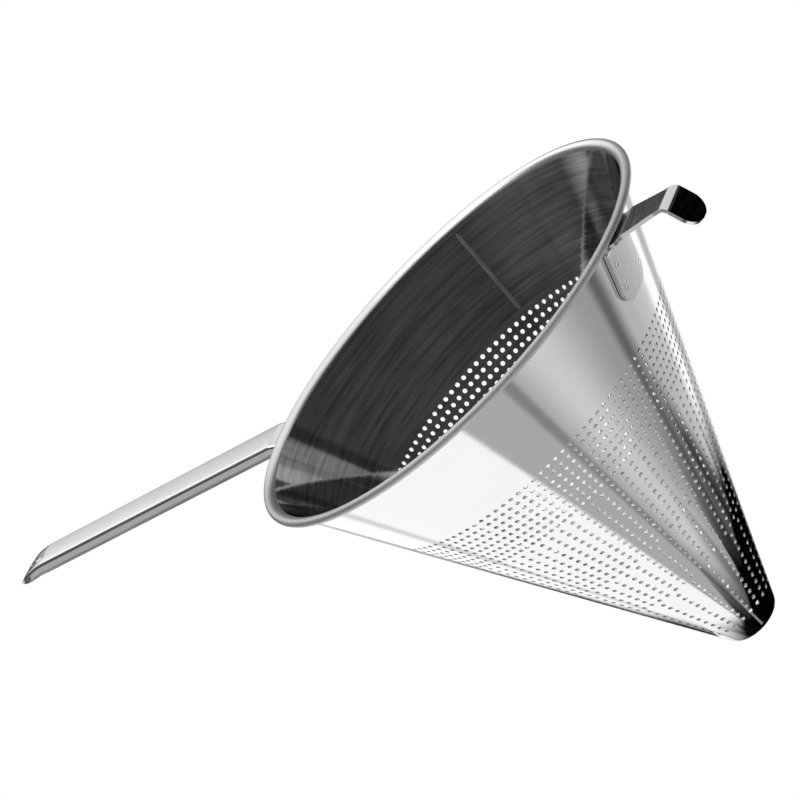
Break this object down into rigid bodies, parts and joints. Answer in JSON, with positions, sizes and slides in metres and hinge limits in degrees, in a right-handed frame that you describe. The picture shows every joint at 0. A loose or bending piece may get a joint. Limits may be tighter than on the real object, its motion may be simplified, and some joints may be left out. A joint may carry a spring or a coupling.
{
  "type": "conical strainer",
  "caption": "Stainless steel conical strainer with a plain band and a perforated cone, a rolled wired rim, a long channel handle with a hanging slot and a hook opposite it.",
  "frame": {"origin": "centre of the flat outer face of the cone's tip", "axes": "+Z along the cone's axis towards its open mouth, +X towards the hook, -X along the handle"},
  "size_m": [0.5157, 0.2502, 0.2388],
  "materials": {
    "cone_steel": "polished outside, finely spun inside",
    "wire_steel": "drawn wire",
    "handle_steel": "satin",
    "hook_steel": "polished"
  },
  "bodies": {
    "root": {"cone": "cone_steel", "rim_wire": "wire_steel", "handle": "handle_steel", "hook": "hook_steel"}
  },
  "joints": []
}
